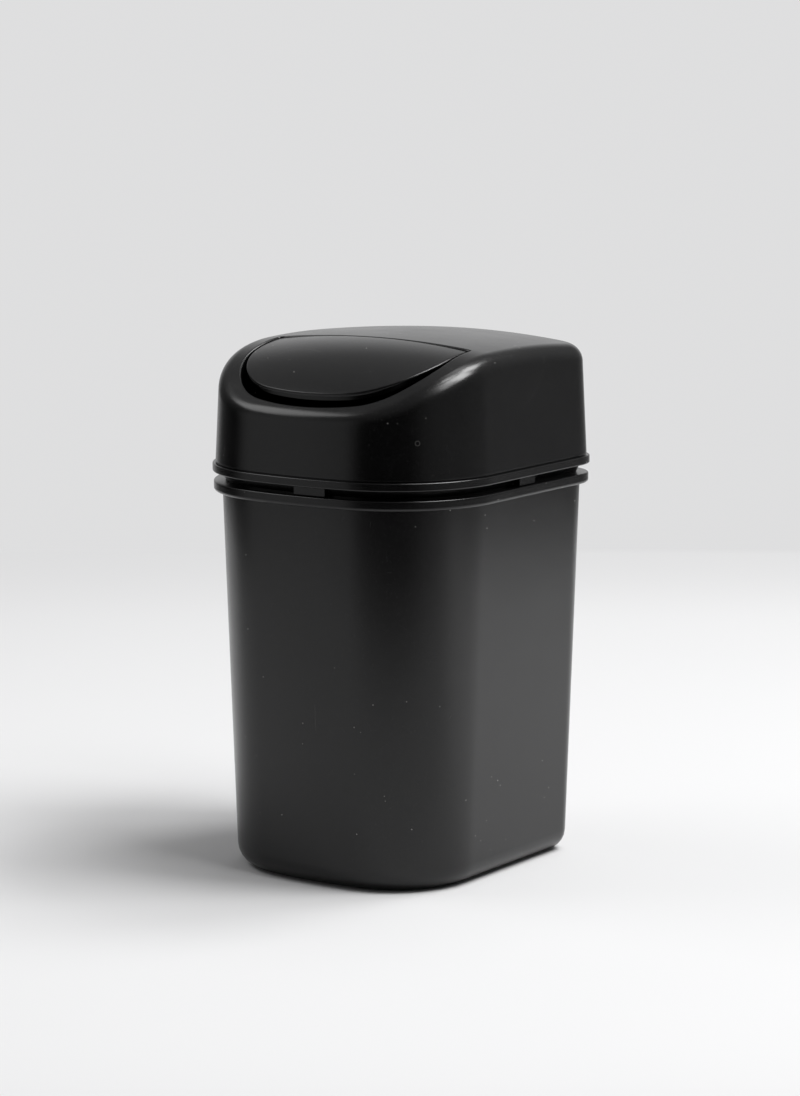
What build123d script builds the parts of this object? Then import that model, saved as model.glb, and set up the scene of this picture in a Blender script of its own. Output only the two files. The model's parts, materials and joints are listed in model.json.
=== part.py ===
from build123d import *
import math
import os

# Small push-flap waste bin: tapered bucket, bag ring, hood and sprung flap.
# Millimetres. +Z is up, the front faces -Y, and the origin is the centre of the underside.

# Bucket outline, measured at the underside of its rim
half_width = 57.0
half_depth = 60.2
front_bow_radius = 163.0
front_corner_radius = 40.8
rear_corner_radius = 14.0

# Bucket
bucket_height = 153.2
bucket_draft = 1.97
bucket_wall = 1.6
floor_thickness = 2.2
bottom_edge_radius = 4.0
foot_width = 8.0
foot_recess = 0.8
rim_height = 4.0
rim_reach = 3.44
rim_lip = 1.3
rim_top_thickness = 1.5
rim_lower_radius = 1.1
rim_upper_radius = 0.6

# Bag ring: the band that shows, the neck and lugs under it, the skirt and the collar
bag_gap = 3.6
hem_gap = 0.4
neck_reach = 0.2
neck_edge_radius = 0.4
lug_reach = 1.7
front_lug_width = 13.8
front_lug_x = 6.4
side_lug_width = 10.8
side_lug_y = 9.3
band_height = 3.2
band_reach = 3.91
band_edge_radius = 0.5
ring_wall = 1.5
skirt_depth = 15.0
collar_height = 7.0
fit_clearance = 0.3
bump_width = 7.0
bump_height = 1.6
bump_proud = 0.22

# Hood
hood_reach = 2.74
hood_draft = 2.78
hood_wall = 1.6
hood_crest = 49.1
hood_crown_radius = 420.0
hood_arch_radius = 70.0
shoulder_radius = 7.6
seam_height = 0.5
seam_depth = 0.8

# Side profile that hood and flap share: a shallow deck, an arch and a straight lip
deck_radius = 420.0
crest_y = 11.0
arch_start_y = -8.0
lip_slope = 37.0

# Mouth of the hood, a D in plan
mouth_side_margin = 12.0
mouth_front_margin = 3.4
mouth_rear_y = -9.4
mouth_bow_radius = 95.5
mouth_corner_radius = 30.0
mouth_rear_radius = 1.2
mouth_edge_radius = 0.8
mouth_rim_thickness = 1.2
mouth_rim_depth = 1.8

# Flap
flap_gap = 1.1
flap_rear_gap = 0.6
flap_corner_radius = 32.0
flap_arch_radius = 86.0
flap_crown_radius = 330.0
flap_thickness = 2.0
flap_edge_radius = 1.0
flap_rim_inset = 2.2
flap_rim_thickness = 1.2
flap_rim_depth = 1.6
flap_rib_thickness = 1.2
flap_rib_depth = 2.2
flap_rib_spacing = 18.0

# Hinge, written for the right side and mirrored to the left
hinge_back = 5.4
hinge_clear = 5.1412
hinge_play = 0.5
pin_radius = 1.0
pin_length = 20.0
pin_chamfer = 0.25
pin_press = 0.02
pin_running = 0.05
outer_ear_inset = 1.5
ear_thickness = 3.0
ear_radius = 2.6
knuckle_radius = 2.4
knuckle_length = 7.4
flange_side_margin = 5.0
flange_thickness = 1.4
flange_setback = 1.0
joggle_width = 2.4
joggle_bite = 0.4

# Return springs
wire_diameter = 0.6
coil_radius = 1.5
coil_pitch = 1.1
coil_turns = 4
flap_leg = 8.0
deck_leg = 9.0
flap_leg_slope = 4.0
deck_leg_slope = 9.5

# How far a cutting shape runs past what it cuts
cut_past = 8.0

# Heights and places that follow
rim_underside = bucket_height - rim_height
band_bottom = bucket_height + bag_gap
hood_foot = band_bottom + band_height
crest_z = hood_foot + hood_crest
above_crest = crest_z + cut_past
mouth_front_y = -half_depth + mouth_front_margin
mouth_half_width = half_width - mouth_side_margin
flap_rear_y = mouth_rear_y - flap_rear_gap
joggle_front_y = flap_rear_y - joggle_width
axis_y = mouth_rear_y + hinge_back
outer_ear_x = mouth_half_width - outer_ear_inset
ear_crown_fall = hood_crown_radius - math.sqrt(hood_crown_radius ** 2 - outer_ear_x ** 2)
axis_z = crest_z - ear_crown_fall - hinge_clear
inner_ear_x = outer_ear_x + ear_thickness - pin_length
knuckle_x = inner_ear_x + ear_thickness + hinge_play
flange_half_width = mouth_half_width - flange_side_margin


def slope(angle):
    """Sideways run per millimetre of height for a draft angle in degrees."""
    return math.tan(math.radians(angle))


def outline(half_w, front_y, rear_y, bow_radius, corner_radius, back_radius, z):
    """D outline at height z: bowed front, large front corners, flat sides and flat back, all tangent."""
    bow_y = front_y + bow_radius
    corner_x = half_w - corner_radius
    corner_y = bow_y - math.sqrt((bow_radius - corner_radius) ** 2 - corner_x ** 2)
    bow_half = math.degrees(math.atan2(corner_x, bow_y - corner_y))
    back_x = half_w - back_radius
    back_y = rear_y - back_radius
    edges = [
        CenterArc((0, bow_y), bow_radius, -90 - bow_half, 2 * bow_half),
        CenterArc((corner_x, corner_y), corner_radius, -90 + bow_half, 90 - bow_half),
        Line((half_w, corner_y), (half_w, back_y)),
        CenterArc((back_x, back_y), back_radius, 0, 90),
        Line((back_x, rear_y), (-back_x, rear_y)),
        CenterArc((-back_x, back_y), back_radius, 90, 90),
        Line((-half_w, back_y), (-half_w, corner_y)),
        CenterArc((-corner_x, corner_y), corner_radius, 180, 90 - bow_half),
    ]
    return Pos(0, 0, z) * Wire(edges)


def shell_outline(grow, z):
    """The bucket's outline at its rim, grown outwards by grow."""
    return outline(
        half_width + grow,
        -half_depth - grow,
        half_depth + grow,
        front_bow_radius + grow,
        front_corner_radius + grow,
        rear_corner_radius + grow,
        z,
    )


def tapered(z_low, grow_low, z_high, grow_high):
    """Closed solid between two grown outlines, with straight drafted sides."""
    return Solid.make_loft([shell_outline(grow_low, z_low), shell_outline(grow_high, z_high)], True)


def straight(z_low, z_high, grow):
    """Closed solid with upright sides on the grown outline."""
    return tapered(z_low, grow, z_high, grow)


def bucket_line(z):
    """How far the bucket's outer wall stands out from the rim outline at height z."""
    return (z - rim_underside) * slope(bucket_draft)


def hood_line(z):
    """How far the hood's outer wall stands out from the rim outline at height z."""
    return hood_reach - (z - hood_foot) * slope(hood_draft)


def skirt_line(z):
    """Outer face of the ring's skirt at height z, a clearance inside the bucket's wall."""
    return bucket_line(z) - bucket_wall - fit_clearance


def collar_line(z):
    """Outer face of the ring's collar at height z, a clearance inside the hood's wall."""
    return hood_line(z) - hood_wall - fit_clearance


def block(x_low, x_high, y_low, y_high, z_low, z_high):
    """Plain box between two corners."""
    size = (x_high - x_low, y_high - y_low, z_high - z_low)
    return Pos(x_low, y_low, z_low) * Box(*size, align=(Align.MIN, Align.MIN, Align.MIN))


def four_sides(x, width_x, y, width_y, z_low, z_high):
    """Cross of two long blocks that marks one place on each of the four sides."""
    far = half_depth + cut_past
    along_y = block(x - width_x / 2, x + width_x / 2, -far, far, z_low, z_high)
    along_x = block(-far, far, y - width_y / 2, y + width_y / 2, z_low, z_high)
    return along_y + along_x


def mirrored(shape):
    """The shape's mirror image on the left side."""
    return mirror(shape, about=Plane.YZ)


def edges_at(shape, z):
    """The edges that lie flat at height z."""
    tolerance = 0.001
    boxes = [(edge, edge.bounding_box()) for edge in shape.edges()]
    return [edge for edge, box in boxes if box.size.Z < tolerance and abs(box.min.Z - z) < tolerance]


def make_bucket():
    """Tapered tub with a rolled rim, hollow under its lip, and a recessed foot."""
    tub = tapered(0, bucket_line(0), bucket_height, bucket_line(bucket_height))
    tub = fillet(edges_at(tub, 0), bottom_edge_radius)
    rim = straight(rim_underside, bucket_height, rim_reach)
    rim = fillet(edges_at(rim, rim_underside), rim_lower_radius)
    rim = fillet(edges_at(rim, bucket_height), rim_upper_radius)
    hollow_top = bucket_height - rim_top_thickness
    rim = rim - straight(rim_underside - cut_past, hollow_top, rim_reach - rim_lip)
    inner_top = bucket_height + cut_past
    inner = tapered(
        floor_thickness,
        bucket_line(floor_thickness) - bucket_wall,
        inner_top,
        bucket_line(inner_top) - bucket_wall,
    )
    inner = fillet(edges_at(inner, floor_thickness), bottom_edge_radius - bucket_wall)
    recess = straight(-cut_past, foot_recess, bucket_line(0) - foot_width)
    return tub + rim - inner - recess


def ring_neck():
    """Wall under the band, with a lug on each side that stands on the bucket's rim."""
    neck_bottom = bucket_height + hem_gap
    neck = straight(neck_bottom, band_bottom, neck_reach)
    neck = fillet(edges_at(neck, neck_bottom), neck_edge_radius)
    lug_places = four_sides(
        front_lug_x, front_lug_width, side_lug_y, side_lug_width, bucket_height, band_bottom
    )
    return neck + (straight(bucket_height, band_bottom, lug_reach) & lug_places)


def collar_bumps():
    """Low bumps round the collar that grip the hood's wall."""
    low = hood_foot + (collar_height - bump_height) / 2
    high = low + bump_height
    layer = tapered(low, collar_line(low) + bump_proud, high, collar_line(high) + bump_proud)
    return layer & four_sides(0, bump_width, side_lug_y, bump_width, low, high)


def make_bag_ring():
    """Band and neck over the rim, a skirt down into the bucket and a collar up into the hood."""
    band = straight(band_bottom, hood_foot, band_reach)
    band = fillet(edges_at(band, band_bottom) + edges_at(band, hood_foot), band_edge_radius)
    skirt_bottom = bucket_height - skirt_depth
    web_top = band_bottom + ring_wall
    collar_top = hood_foot + collar_height
    skirt = tapered(skirt_bottom, skirt_line(skirt_bottom), web_top, skirt_line(web_top))
    collar = tapered(web_top, collar_line(web_top), collar_top, collar_line(collar_top))
    below = skirt_bottom - cut_past
    above = collar_top + cut_past
    lower_bore = tapered(below, skirt_line(below) - ring_wall, web_top, skirt_line(web_top) - ring_wall)
    upper_bore = tapered(web_top, collar_line(web_top) - ring_wall, above, collar_line(above) - ring_wall)
    return band + ring_neck() + skirt + collar + collar_bumps() - lower_bore - upper_bore


def on_arc(centre, radius, angle):
    """Point of the side profile on an arc, at an angle from straight up, positive to the rear."""
    return (0, centre[0] + radius * math.sin(angle), centre[1] + radius * math.cos(angle))


def dome(arch_radius, crown_radius, drop):
    """Everything under the crowned top, lowered by drop along its normal.

    The side profile is a shallow deck arc, a tighter arch that falls to the front and a straight lip
    tangent to it. It is swung about a level axis far below, which crowns it from side to side.
    """
    front_y = -half_depth - cut_past
    base_z = hood_foot - cut_past
    deck_angle = -math.asin((crest_y - arch_start_y) / deck_radius)
    rear_angle = math.asin((half_depth + cut_past - crest_y) / deck_radius)
    lip_angle = -math.radians(lip_slope)
    deck_centre = (crest_y, crest_z - deck_radius)
    arch_centre = on_arc(deck_centre, deck_radius - arch_radius, deck_angle)[1:]
    deck_r = deck_radius - drop
    arch_r = arch_radius - drop
    rear = on_arc(deck_centre, deck_r, rear_angle)
    deck_middle = on_arc(deck_centre, deck_r, 0)
    start = on_arc(deck_centre, deck_r, deck_angle)
    arch_middle = on_arc(arch_centre, arch_r, (deck_angle + lip_angle) / 2)
    lip = on_arc(arch_centre, arch_r, lip_angle)
    lip_end = (0, front_y, lip[2] + (front_y - lip[1]) * slope(lip_slope))
    front_foot = (0, front_y, base_z)
    rear_foot = (0, rear[1], base_z)
    edges = [
        ThreePointArc(rear, deck_middle, start),
        ThreePointArc(start, arch_middle, lip),
        *Polyline(lip, lip_end, front_foot, rear_foot, rear).edges(),
    ]
    swing_axis = Axis((0, 0, crest_z - crown_radius), (0, 1, 0))
    swing = math.degrees(math.asin((half_width + cut_past) / (crown_radius - hood_crest - cut_past)))
    body = Solid.revolve(Face(Wire(edges)), 2 * swing, swing_axis)
    return body.rotate(swing_axis, -swing)


def hood_dome(drop):
    """Everything under the hood's top, lowered by drop."""
    return dome(hood_arch_radius, hood_crown_radius, drop)


def flap_dome(drop):
    """Everything under the flap's top, lowered by drop."""
    return dome(flap_arch_radius, flap_crown_radius, drop)


def mouth_prism(shrink, corner_radius, rear_y):
    """Upright D prism through the hood's top, the mouth's plan shrunk by shrink."""
    wire = outline(
        mouth_half_width - shrink,
        mouth_front_y + shrink,
        rear_y,
        mouth_bow_radius - shrink,
        corner_radius,
        mouth_rear_radius,
        hood_foot,
    )
    return extrude(Face(wire), above_crest - hood_foot)


def top_edges(shape):
    """The edges where a crowned top meets upright sides."""
    upward = 0.3
    level = 0.05
    tops = [face for face in shape.faces() if face.normal_at().Z > upward]
    sides = [face for face in shape.faces() if abs(face.normal_at().Z) < level]
    side_edges = [edge for face in sides for edge in face.edges()]
    return [edge for face in tops for edge in face.edges() if any(edge.is_same(side) for side in side_edges)]


def rod(x_low, x_high, radius):
    """Round bar along the hinge axis."""
    bar = Rot(0, 90, 0) * Cylinder(radius, x_high - x_low, align=(Align.CENTER, Align.CENTER, Align.MIN))
    return Pos(x_low, axis_y, axis_z) * bar


def hood_blank(inset, foot, edge_radius):
    """Drafted walls cut off by the crowned top, with one rolling shoulder between them."""
    walls = tapered(foot, hood_line(foot) - inset, above_crest, hood_line(above_crest) - inset)
    blank = walls & hood_dome(inset)
    return fillet(blank.edges().filter_by(GeomType.BSPLINE), edge_radius)


def mouth_rim():
    """Downturned rim along the front and sides of the mouth."""
    outer = mouth_prism(-mouth_rim_thickness, mouth_corner_radius + mouth_rim_thickness, mouth_rear_y)
    rear_y = mouth_rear_y - hinge_back
    front = block(-half_width, half_width, -half_depth, rear_y, hood_foot, above_crest)
    return outer & front & (hood_dome(hood_wall) - hood_dome(hood_wall + mouth_rim_depth))


def ear(x_low):
    """Hinge ear: a plate that hangs from the deck, rounded round the pin."""
    x_high = x_low + ear_thickness
    plate = block(x_low, x_high, axis_y - ear_radius, axis_y + ear_radius, axis_z, crest_z)
    return plate + rod(x_low, x_high, ear_radius)


def hinge_ears():
    """The right-hand pair of ears, bored for a pressed pin."""
    ears = (ear(inner_ear_x) + ear(outer_ear_x)) & hood_dome(hood_wall / 2)
    return ears - rod(inner_ear_x - cut_past, outer_ear_x + cut_past, pin_radius + pin_press)


def foot_seam():
    """Shallow step round the hood's foot that leaves a shadow line over the band."""
    low = hood_foot - cut_past
    high = hood_foot + seam_height
    face = hood_line(hood_foot)
    return straight(low, high, face + seam_depth) - straight(low, high, face - seam_depth)


def make_hood():
    """Thin hood with a D mouth, a rim round the mouth, hinge ears and a shadow seam at its foot."""
    mouth = mouth_prism(0, mouth_corner_radius, mouth_rear_y)
    outer = hood_blank(0, hood_foot, shoulder_radius) - mouth
    within = (mouth_half_width + half_width) / 2
    mouth_edges = [edge for edge in top_edges(outer) if abs(edge.center().X) < within]
    outer = fillet(mouth_edges, mouth_edge_radius)
    shell = outer - hood_blank(hood_wall, hood_foot - cut_past, shoulder_radius - hood_wall)
    ears = hinge_ears()
    return shell + (mouth_rim() - mouth) + ears + mirrored(ears) - foot_seam()


def flap_plan(inset, rear_y):
    """Upright prism on the flap's plan, inset from its edge."""
    return mouth_prism(flap_gap + inset, flap_corner_radius - inset, rear_y)


def flap_layer(top_drop, bottom_drop):
    """The layer between two depths under the flap's top."""
    return flap_dome(top_drop) - flap_dome(bottom_drop)


def flap_skin():
    """Domed plate with a rounded edge."""
    plate = flap_plan(0, flap_rear_y) & flap_layer(0, flap_thickness)
    return fillet(top_edges(plate), flap_edge_radius)


def flap_flange():
    """Step down from the skin to a flange under the hood's deck, notched round the inner ears."""
    top_drop = hood_wall + fit_clearance
    bottom_drop = top_drop + flange_thickness
    rear_y = axis_y - flange_setback
    flange = block(-flange_half_width, flange_half_width, joggle_front_y, rear_y, hood_foot, above_crest)
    flange = flange & (hood_dome(top_drop) - hood_dome(bottom_drop))
    notch = block(
        inner_ear_x - hinge_play,
        knuckle_x,
        axis_y - ear_radius - hinge_play,
        axis_y,
        hood_foot,
        above_crest,
    )
    joggle = block(-flange_half_width, flange_half_width, joggle_front_y, flap_rear_y, hood_foot, above_crest)
    joggle = joggle & (flap_dome(flap_thickness - joggle_bite) - hood_dome(bottom_drop))
    return flange - notch - mirrored(notch) + joggle


def flap_rim():
    """Low stiffening rim a little inside the edge of the skin's underside."""
    inner = flap_rim_inset + flap_rim_thickness
    rim = flap_plan(flap_rim_inset, joggle_front_y) - flap_plan(inner, joggle_front_y - flap_rim_thickness)
    return rim & flap_layer(flap_thickness / 2, flap_thickness + flap_rim_depth)


def flap_ribs():
    """Ribs under the skin, from the front of the rim to the flange."""
    zone = flap_plan(flap_rim_inset, joggle_front_y) & flap_layer(
        flap_thickness / 2, flap_thickness + flap_rib_depth
    )
    half = flap_rib_thickness / 2
    places = [-flap_rib_spacing, 0, flap_rib_spacing]
    blades = [
        block(x - half, x + half, mouth_front_y, joggle_front_y, hood_foot, above_crest) for x in places
    ]
    return (Part() + blades) & zone


def flap_knuckle():
    """The right-hand knuckle round the pin, with its web up to the flange."""
    knuckle_end = knuckle_x + knuckle_length
    web = block(knuckle_x, knuckle_end, axis_y - knuckle_radius, axis_y, axis_z, above_crest)
    web = web & hood_dome(hood_wall + fit_clearance + flange_thickness / 2)
    return web + rod(knuckle_x, knuckle_end, knuckle_radius)


def make_flap():
    """Domed flap with a stepped hinge flange, two knuckles, a stiffening rim and ribs."""
    knuckle = flap_knuckle()
    flap = flap_skin() + flap_flange() + flap_rim() + flap_ribs() + knuckle + mirrored(knuckle)
    bore = rod(knuckle_x - cut_past, knuckle_x + knuckle_length + cut_past, pin_radius + pin_running)
    return flap - bore - mirrored(bore)


def make_pin():
    """Steel dowel, chamfered at both ends."""
    pin = rod(inner_ear_x, inner_ear_x + pin_length, pin_radius)
    return chamfer(pin.edges().filter_by(GeomType.CIRCLE), pin_chamfer)


def coil_point(turn, start_x):
    """Point and direction on the coil after a number of turns, counted from its top at the flap's leg."""
    angle = 2 * math.pi * turn
    point = Vector(
        start_x + coil_pitch * turn,
        axis_y + coil_radius * math.sin(angle),
        axis_z + coil_radius * math.cos(angle),
    )
    direction = Vector(
        coil_pitch / (2 * math.pi),
        coil_radius * math.cos(angle),
        -coil_radius * math.sin(angle),
    )
    return point, direction.normalized()


def tangent_pair(turn_low, turn_high, start_x):
    """Two tangent arcs that join two points of the coil with its directions at both ends."""
    low, low_dir = coil_point(turn_low, start_x)
    high, high_dir = coil_point(turn_high, start_x)
    span = high - low
    both = low_dir + high_dir
    spread = 2 * (1 - low_dir.dot(high_dir))
    reach = (-span.dot(both) + math.sqrt(span.dot(both) ** 2 + spread * span.dot(span))) / spread
    middle = (low + high + (low_dir - high_dir) * reach) * 0.5
    middle_dir = (high - high_dir * reach - low - low_dir * reach).normalized()
    return [Edge.make_tangent_arc(low, low_dir, middle), Edge.make_tangent_arc(middle, middle_dir, high)]


def make_spring():
    """Torsion spring: one leg under the flap's flange, the coil round the pin, one leg under the deck."""
    start_x = knuckle_x + knuckle_length + hinge_play + wire_diameter / 2
    first = -flap_leg_slope / 360
    last = coil_turns - deck_leg_slope / 360
    steps = 4 * coil_turns
    marks = [first + (last - first) * i / steps for i in range(steps + 1)]
    start, start_dir = coil_point(first, start_x)
    end, end_dir = coil_point(last, start_x)
    tip = start - start_dir * flap_leg
    edges = [Line(tip, start)]
    for low, high in zip(marks, marks[1:]):
        edges += tangent_pair(low, high, start_x)
    edges.append(Line(end, end + end_dir * deck_leg))
    section = Plane(origin=tip, z_dir=start_dir) * Circle(wire_diameter / 2)
    print("spring: gap between turns", round(coil_pitch - wire_diameter, 2))
    return sweep(section, Wire(edges))


def main():
    """Builds each piece and writes one STEP file for each."""
    pin = make_pin()
    spring = make_spring()
    pieces = {
        "bucket": make_bucket(),
        "bag_ring": make_bag_ring(),
        "hood": make_hood(),
        "flap": make_flap(),
        "hinge_pin_right": pin,
        "hinge_pin_left": mirrored(pin),
        "return_spring_right": spring,
        "return_spring_left": mirrored(spring),
    }
    os.makedirs("parts", exist_ok=True)
    for name, shape in pieces.items():
        export_step(shape, f"parts/{name}.step")


main()
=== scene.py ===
import json
import math

import bmesh
import bpy
import numpy as np
from bpy.props import FloatProperty, FloatVectorProperty, IntProperty, PointerProperty
from mathutils import Matrix, Vector


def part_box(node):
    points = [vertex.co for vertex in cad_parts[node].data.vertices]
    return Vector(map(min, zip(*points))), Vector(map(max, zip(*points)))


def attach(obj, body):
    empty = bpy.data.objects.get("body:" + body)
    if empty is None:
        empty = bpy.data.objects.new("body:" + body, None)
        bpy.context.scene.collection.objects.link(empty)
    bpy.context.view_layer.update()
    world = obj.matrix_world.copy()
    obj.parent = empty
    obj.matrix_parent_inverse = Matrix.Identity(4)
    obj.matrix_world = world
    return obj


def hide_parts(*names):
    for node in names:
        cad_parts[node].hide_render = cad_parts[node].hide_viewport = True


bl_info = {
    "name": "Push-flap bin",
    "version": (1, 0, 0),
    "blender": (4, 5, 0),
    "location": "View3D > Sidebar > Bin",
    "description": "Builds the shells of a small push-flap waste bin and a studio to show it in",
    "category": "Add Mesh",
}

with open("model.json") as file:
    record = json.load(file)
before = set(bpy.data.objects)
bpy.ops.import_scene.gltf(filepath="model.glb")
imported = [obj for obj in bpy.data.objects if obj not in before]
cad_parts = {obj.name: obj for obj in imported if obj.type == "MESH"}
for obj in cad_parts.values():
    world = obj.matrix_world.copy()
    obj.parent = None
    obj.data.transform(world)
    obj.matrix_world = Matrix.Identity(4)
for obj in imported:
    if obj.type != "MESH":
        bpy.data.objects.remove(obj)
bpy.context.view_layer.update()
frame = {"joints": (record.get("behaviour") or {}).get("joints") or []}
BUCKET_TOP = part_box("bucket")[1]
RING_LOW, RING_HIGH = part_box("bag_ring")
HOOD_LOW, HOOD_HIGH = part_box("hood")
FLAP_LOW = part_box("flap")[0]
PIN_LOW, PIN_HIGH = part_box("hinge_pin_right")
HINGE = next(joint for joint in frame["joints"] if joint["name"] == "flap_hinge")
_, AXIS_Y, AXIS_Z = HINGE["pos_m"]
MM = 0.001
FULL_TURN = 2 * math.pi

# Each half of the hinge, and the sign of x on it
SIDES = (("right", 1), ("left", -1))

# Point in the mouth, seen from above, that the columns of the hood's and the flap's grids fan out from
HUB = (0, -30 * MM)

# Point spacing of the outlines that are only read from
FINE = 0.1 * MM

# Widest turn between two points on an outline's arc
WIDEST_TURN = math.radians(5)

# How many times a shoulder's ball is set against the wall and the top in turn
SETTLING = 20

# How squarely an outline has to face ahead or back, or aside, to count as that side of the bin
FACING = 0.9
FACING_SIDE = 0.99

# Points closer than this are one point, and edges that turn more than this are sharp
MERGED = 0.002 * MM
SHARP_TURN = math.radians(32)


def length(name, default, description):
    """A length property, its default in millimetres."""
    return FloatProperty(name=name, description=description, default=default * MM, unit="LENGTH", precision=5)


def angle(name, default, description):
    """An angle property, its default in degrees."""
    return FloatProperty(name=name, description=description, default=math.radians(default), subtype="ANGLE")


def share(name, default, description):
    """A plain number property."""
    return FloatProperty(name=name, description=description, default=default, precision=4)


def colour(name, default, description):
    """A linear colour property."""
    return FloatVectorProperty(name=name, description=description, default=default, size=3, subtype="COLOR")


def point(name, default, description):
    """A point property in metres."""
    return FloatVectorProperty(
        name=name, description=description, default=default, subtype="TRANSLATION", unit="LENGTH"
    )


class BinOutline(bpy.types.PropertyGroup):
    """The D outline of the bucket at the underside of its rim, which every wall is offset from."""

    rim_reach: length("Rim reach", 3.44, "How far the bucket's rim stands out from the outline")
    front_bow: length("Front bow radius", 163, "Radius of the bowed front")
    front_corner: length("Front corner radius", 40.8, "Radius of the two front corners")
    rear_corner: length("Rear corner radius", 14, "Radius of the two rear corners")
    step: length("Column spacing", 1.4, "Distance between columns of the walls' grids")


class BinBucket(bpy.types.PropertyGroup):
    """The tub with its rolled rim and recessed foot."""

    draft: angle("Draft", 1.97, "Lean of the walls")
    wall: length("Wall", 1.6, "Wall thickness")
    floor: length("Floor", 2.2, "Floor thickness")
    edge: length("Bottom edge radius", 8.5, "Rounding where the walls meet the foot")
    foot_width: length("Foot width", 12.5, "From the outside of the walls to the recess")
    foot_recess: length("Foot recess", 0.8, "Depth of the recess under the floor")
    rim_height: length("Rim height", 4, "Height of the rolled rim")
    rim_lip: length("Rim lip", 1.3, "Thickness of the rim's hanging lip")
    rim_top: length("Rim top", 1.5, "Thickness of the rim over its hollow")
    rim_lower: length("Rim lower radius", 1.1, "Rounding of the rim's lower edge")
    rim_upper: length("Rim upper radius", 0.6, "Rounding of the rim's upper edge")


class BinRing(bpy.types.PropertyGroup):
    """The bag ring: band, neck, lugs, skirt, collar and grip bumps."""

    gap: length("Bag gap", 3.6, "From the bucket's rim to the band")
    hem: length("Hem gap", 0.4, "From the bucket's rim to the neck")
    neck: length("Neck reach", 0.2, "How far the neck stands out from the outline under the band")
    neck_foot: length("Neck foot", 0.6, "How far the sloping neck's foot stands out from the skirt")
    neck_edge: length("Neck edge radius", 0.4, "Rounding of the neck's lower edge")
    lug: length("Lug reach", 1.7, "How far the lugs stand out from the outline")
    front_lug_width: length("Front lug width", 13.8, "Width of the lugs at the front and back")
    front_lug_x: length("Front lug place", 6.4, "Place of the lugs at the front and back")
    side_lug_width: length("Side lug width", 10.8, "Width of the lugs at the sides")
    side_lug_y: length("Side lug place", 9.3, "Place of the lugs at the sides")
    band_edge: length("Band edge radius", 0.5, "Rounding of the band's edges")
    wall: length("Wall", 1.5, "Wall thickness")
    clearance: length("Fit clearance", 0.3, "Play between the ring and the walls it enters")
    bump_width: length("Bump width", 7, "Width of the grip bumps")
    bump_height: length("Bump height", 1.6, "Height of the grip bumps")
    bump_proud: length("Bump reach", 0.22, "How far the grip bumps stand out")


class BinTop(bpy.types.PropertyGroup):
    """The crowned top that hood and flap share, seen from the side."""

    deck_radius: length("Deck radius", 420, "Radius of the shallow rear deck")
    crest_y: length("Crest place", 11, "Where the top is highest")
    arch_start_y: length("Arch start", -8, "Where the deck runs into the arch")
    lip_slope: angle("Lip slope", 37, "Fall of the straight lip at the front")
    hood_arch: length("Hood arch radius", 70, "Radius of the hood's arch")
    hood_crown: length("Hood crown radius", 420, "Radius of the hood from side to side")
    flap_arch: length("Flap arch radius", 86, "Radius of the flap's arch")
    flap_crown: length("Flap crown radius", 330, "Radius of the flap from side to side")


class BinHood(bpy.types.PropertyGroup):
    """The hood's walls, shoulder and mouth."""

    reach: length("Foot reach", 2.74, "How far the hood's foot stands out from the outline")
    draft: angle("Draft", 2.78, "Lean of the walls")
    wall: length("Wall", 1.6, "Wall thickness")
    shoulder: length("Shoulder radius", 7.6, "Rounding between the walls and the top")
    seam_height: length("Seam height", 0.5, "Height of the step at the foot")
    seam_depth: length("Seam depth", 0.8, "Depth of the step at the foot")
    side_margin: length("Side margin", 12, "From the outline's side to the mouth")
    front_margin: length("Front margin", 3.4, "From the outline's front to the mouth")
    rear_y: length("Rear of the mouth", -9.4, "Place of the mouth's straight edge")
    bow: length("Mouth bow radius", 95.5, "Radius of the mouth's front")
    corner: length("Mouth corner radius", 30, "Radius of the mouth's front corners")
    rear_corner: length("Mouth rear radius", 1.2, "Radius of the mouth's rear corners")
    mouth_edge: length("Mouth edge radius", 0.8, "Rounding of the mouth's edge")
    rim_thickness: length("Mouth rim thickness", 1.2, "Thickness of the rim under the mouth's edge")
    rim_depth: length("Mouth rim depth", 1.8, "Depth of the rim under the mouth's edge")
    rim_stop: length("Mouth rim stop", 5.4, "From the mouth's straight edge to where its rim ends")


class BinFlap(bpy.types.PropertyGroup):
    """The flap's skin, rim, ribs and hinge flange."""

    gap: length("Gap", 1.1, "From the mouth's edge to the flap")
    rear_gap: length("Rear gap", 0.6, "From the mouth's straight edge to the flap")
    corner: length("Corner radius", 32, "Radius of the flap's front corners")
    thickness: length("Thickness", 2, "Thickness of the skin")
    edge: length("Edge radius", 0.55, "Rounding of the skin's edge")
    edge_thickness: length("Edge thickness", 0.9, "Thickness of the skin at its edge")
    undercut: length("Undercut", 1.6, "How far in the skin gets its full thickness")
    rim_inset: length("Rim inset", 2.2, "From the skin's edge to the stiffening rim")
    rim_thickness: length("Rim thickness", 1.2, "Thickness of the stiffening rim")
    rim_depth: length("Rim depth", 1.6, "Depth of the stiffening rim")
    rib_thickness: length("Rib thickness", 1.2, "Thickness of the ribs")
    rib_depth: length("Rib depth", 2.2, "Depth of the ribs")
    rib_spacing: length("Rib spacing", 18, "Distance between the ribs")
    flange_half: length("Flange half width", 40, "Half the width of the hinge flange")
    flange_thickness: length("Flange thickness", 1.4, "Thickness of the hinge flange")
    flange_setback: length("Flange setback", 1, "From the flange's rear to the hinge's axis")
    joggle: length("Joggle width", 2.4, "Width of the step from the skin to the flange")


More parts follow.
